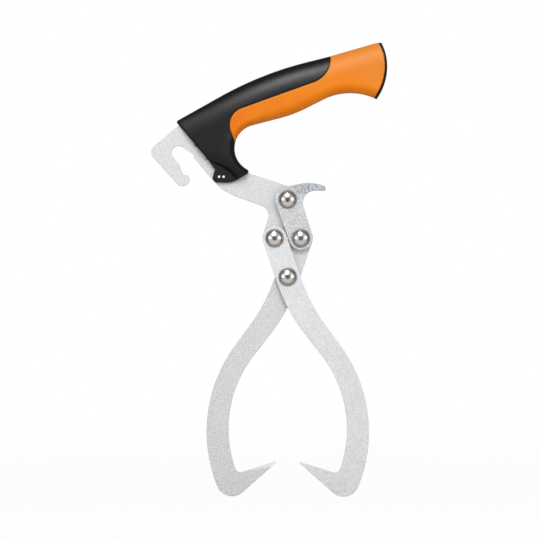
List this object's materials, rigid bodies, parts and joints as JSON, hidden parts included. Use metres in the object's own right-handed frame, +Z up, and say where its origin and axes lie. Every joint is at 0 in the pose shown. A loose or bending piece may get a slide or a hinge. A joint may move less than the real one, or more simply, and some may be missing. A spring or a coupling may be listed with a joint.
{
  "type": "log tongs",
  "caption": "Hand-held log tongs: a moulded two-colour handle with a hanging hook and finger lever, and two bowed pointed steel jaws on a riveted parallel linkage that closes under load.",
  "frame": {"origin": "middle of the hand grip, straight above the linkage, in the mid-plane of the frame plate", "axes": "+X towards the butt of the handle, +Y away from the viewer, square to the plates, +Z up, with the jaws hanging down"},
  "size_m": [0.1964, 0.0298, 0.3778],
  "materials": {
    "plate_steel": "fine-grained blasted steel plate",
    "rivet_steel": "polished dome heads",
    "washer_steel": "plain",
    "black_plastic": "satin moulded",
    "orange_grip": "soft-touch satin",
    "cap_plastic": "satin moulded"
  },
  "bodies": {
    "handle": {"frame_plate": "plate_steel", "handle_core": "black_plastic", "soft_grip": "orange_grip", "butt_cap": "cap_plastic", "top_rivet": "rivet_steel", "left_rivet": "rivet_steel", "top_washer": "washer_steel", "left_washer": "washer_steel"},
    "lever": {"trigger_lever": "plate_steel"},
    "front_jaw": {"front_jaw": "plate_steel"},
    "rear_jaw": {"rear_jaw": "plate_steel", "right_rivet": "rivet_steel", "bottom_rivet": "rivet_steel", "right_washer": "washer_steel", "bottom_washer": "washer_steel"}
  },
  "joints": [
    {"name": "jaw_open", "type": "hinge", "parent": "handle", "child": "front_jaw", "pos_m": [-0.01096, -0.00235, -0.12219], "axis": [0, -1, 0], "range_deg": [0, 70]},
    {"name": "lever_swing", "type": "hinge", "parent": "handle", "child": "lever", "pos_m": [0, -0.00235, -0.09], "axis": [0, -1, 0], "range_deg": [0, 70]},
    {"name": "rear_jaw_turn", "type": "hinge", "parent": "front_jaw", "child": "rear_jaw", "pos_m": [0, -0.00235, -0.15437], "axis": [0, -1, 0], "range_deg": [-70, 0]}
  ],
  "couplings": [
    {"joint": "lever_swing", "follows": "jaw_open", "ratio": 1},
    {"joint": "rear_jaw_turn", "follows": "jaw_open", "ratio": -1}
  ]
}
